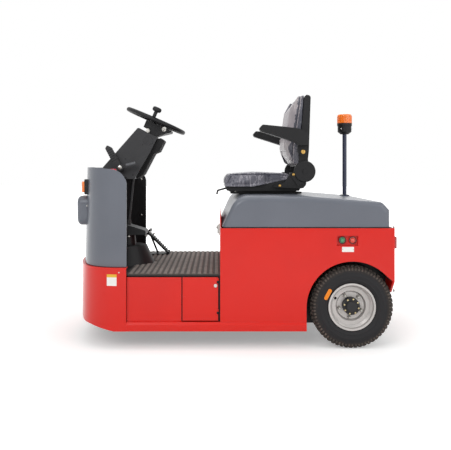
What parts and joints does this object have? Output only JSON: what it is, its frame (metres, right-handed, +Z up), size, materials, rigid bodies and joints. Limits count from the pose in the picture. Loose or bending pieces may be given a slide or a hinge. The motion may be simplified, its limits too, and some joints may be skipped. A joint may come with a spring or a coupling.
{
  "type": "electric tow tractor",
  "caption": "Three-wheeled electric tow tractor with seated driver, tilting hood with seat and beacon, front cowl with steering column, and a rear pin coupler.",
  "frame": {"origin": "on the ground, half way along the whole machine and half way across it", "axes": "+X forward, +Y to the driver's left, +Z up"},
  "size_m": [1.757, 0.92, 1.3047],
  "materials": {
    "red_paint": "gloss red paint",
    "grey_paint": "satin grey paint",
    "black_paint": "satin black paint",
    "dark_plastic": "moulded dark grey plastic",
    "black_plastic": "black plastic",
    "mat_rubber": "ribbed rubber mat",
    "seal_rubber": "black rubber",
    "tyre_rubber": "black tyre rubber",
    "rim_silver": "silver painted steel",
    "cast_black": "black painted iron",
    "battery_case": "grey painted steel tray with cells",
    "lamp_glass": "clear lamp glass",
    "amber_lens": "amber lamp lens",
    "red_lens": "red plastic",
    "green_lens": "green and red lamps",
    "seat_vinyl": "grey vinyl under clear film",
    "pole_paint": "dark blue-grey paint",
    "bright_steel": "bright steel"
  },
  "bodies": {
    "chassis": {"chassis_frame": "black_paint", "floor_plate": "black_paint", "floor_mat": "mat_rubber", "wheel_well": "black_paint", "steering_gear": "cast_black", "front_body": "red_paint", "cowl_seal": "seal_rubber", "front_cowl": "grey_paint", "dash": "black_plastic", "headlamp_housings": "grey_paint", "headlamp_lenses": "lamp_glass", "turn_lamp_bases": "black_plastic", "turn_lamp_lenses": "amber_lens", "column_cover": "dark_plastic", "column_rear_trim": "black_plastic", "column_head": "black_plastic", "control_levers": "dark_plastic", "stop_button": "red_lens", "accelerator_pedal": "black_paint", "brake_pedal": "black_paint", "sills": "red_paint", "step_panels": "red_paint", "rear_side_left": "red_paint", "rear_side_right": "red_paint", "charge_lamps": "green_lens", "front_panel": "red_paint", "hood_latch": "bright_steel", "back_panel": "red_paint", "tail_lamps": "red_lens", "mudguards": "black_paint", "battery": "battery_case", "rear_axle": "cast_black", "drive_motor": "cast_black", "tow_coupler": "cast_black"},
    "front_fork": {"front_fork": "black_paint"},
    "front_wheel": {"front_tyre": "tyre_rubber", "front_rim": "rim_silver", "front_hub": "cast_black"},
    "rear_wheel_left": {"rear_tyre_left": "tyre_rubber", "rear_rim_left": "rim_silver", "rear_hub_left": "cast_black"},
    "rear_wheel_right": {"rear_tyre_right": "tyre_rubber", "rear_rim_right": "rim_silver", "rear_hub_right": "cast_black"},
    "steering_wheel": {"steering_wheel_rim": "black_plastic", "spinner_knob": "black_plastic"},
    "service_door_left": {"service_door_left": "red_paint"},
    "service_door_right": {"service_door_right": "red_paint"},
    "hood": {"hood": "grey_paint", "seat_rails": "black_paint", "beacon_pole": "pole_paint", "beacon_base": "black_plastic", "beacon_lens": "amber_lens"},
    "seat": {"seat_base": "black_plastic", "seat_cushion": "seat_vinyl"},
    "backrest": {"backrest_shell": "black_plastic", "backrest_cushion": "seat_vinyl"},
    "armrest_left": {"armrest_left": "dark_plastic"},
    "armrest_right": {"armrest_right": "dark_plastic"}
  },
  "joints": [
    {"name": "steer", "type": "hinge", "parent": "chassis", "child": "front_fork", "pos_m": [0.6425, 0, 0.209], "axis": [0, 0, 1], "range_deg": [-65, 65]},
    {"name": "front_wheel_roll", "type": "hinge", "parent": "front_fork", "child": "front_wheel", "pos_m": [0.6425, 0, 0.209], "axis": [0, 1, 0], "continuous": true},
    {"name": "rear_wheel_left_roll", "type": "hinge", "parent": "chassis", "child": "rear_wheel_left", "pos_m": [-0.5485, 0.392, 0.209], "axis": [0, 1, 0], "continuous": true},
    {"name": "rear_wheel_right_roll", "type": "hinge", "parent": "chassis", "child": "rear_wheel_right", "pos_m": [-0.5485, -0.392, 0.209], "axis": [0, 1, 0], "continuous": true},
    {"name": "steering_wheel_turn", "type": "hinge", "parent": "chassis", "child": "steering_wheel", "pos_m": [0.4815, 0, 1.1795], "axis": [-0.3955, 0, 0.9184], "range_deg": [-585, 585]},
    {"name": "service_door_left_hinge", "type": "hinge", "parent": "chassis", "child": "service_door_left", "pos_m": [0.127, 0.44, 0.25], "axis": [0, 0, 1], "range_deg": [0, 90]},
    {"name": "service_door_right_hinge", "type": "hinge", "parent": "chassis", "child": "service_door_right", "pos_m": [0.127, -0.44, 0.25], "axis": [0, 0, -1], "range_deg": [0, 90]},
    {"name": "hood_hinge", "type": "hinge", "parent": "chassis", "child": "hood", "pos_m": [-0.75, 0, 0.62], "axis": [0, -1, 0], "range_deg": [0, 55]},
    {"name": "seat_slide", "type": "slide", "parent": "hood", "child": "seat", "axis": [1, 0, 0], "range_m": [-0.07, 0.08]},
    {"name": "backrest_recline", "type": "hinge", "parent": "seat", "child": "backrest", "pos_m": [-0.3365, 0, 0.892], "axis": [0, -1, 0], "range_deg": [-8, 18]},
    {"name": "armrest_left_lift", "type": "hinge", "parent": "backrest", "child": "armrest_left", "pos_m": [-0.3185, 0.29, 0.995], "axis": [0, -1, 0], "range_deg": [0, 80]},
    {"name": "armrest_right_lift", "type": "hinge", "parent": "backrest", "child": "armrest_right", "pos_m": [-0.3185, -0.29, 0.995], "axis": [0, -1, 0], "range_deg": [0, 80]}
  ],
  "couplings": [
    {"joint": "steering_wheel_turn", "follows": "steer", "ratio": 9}
  ]
}
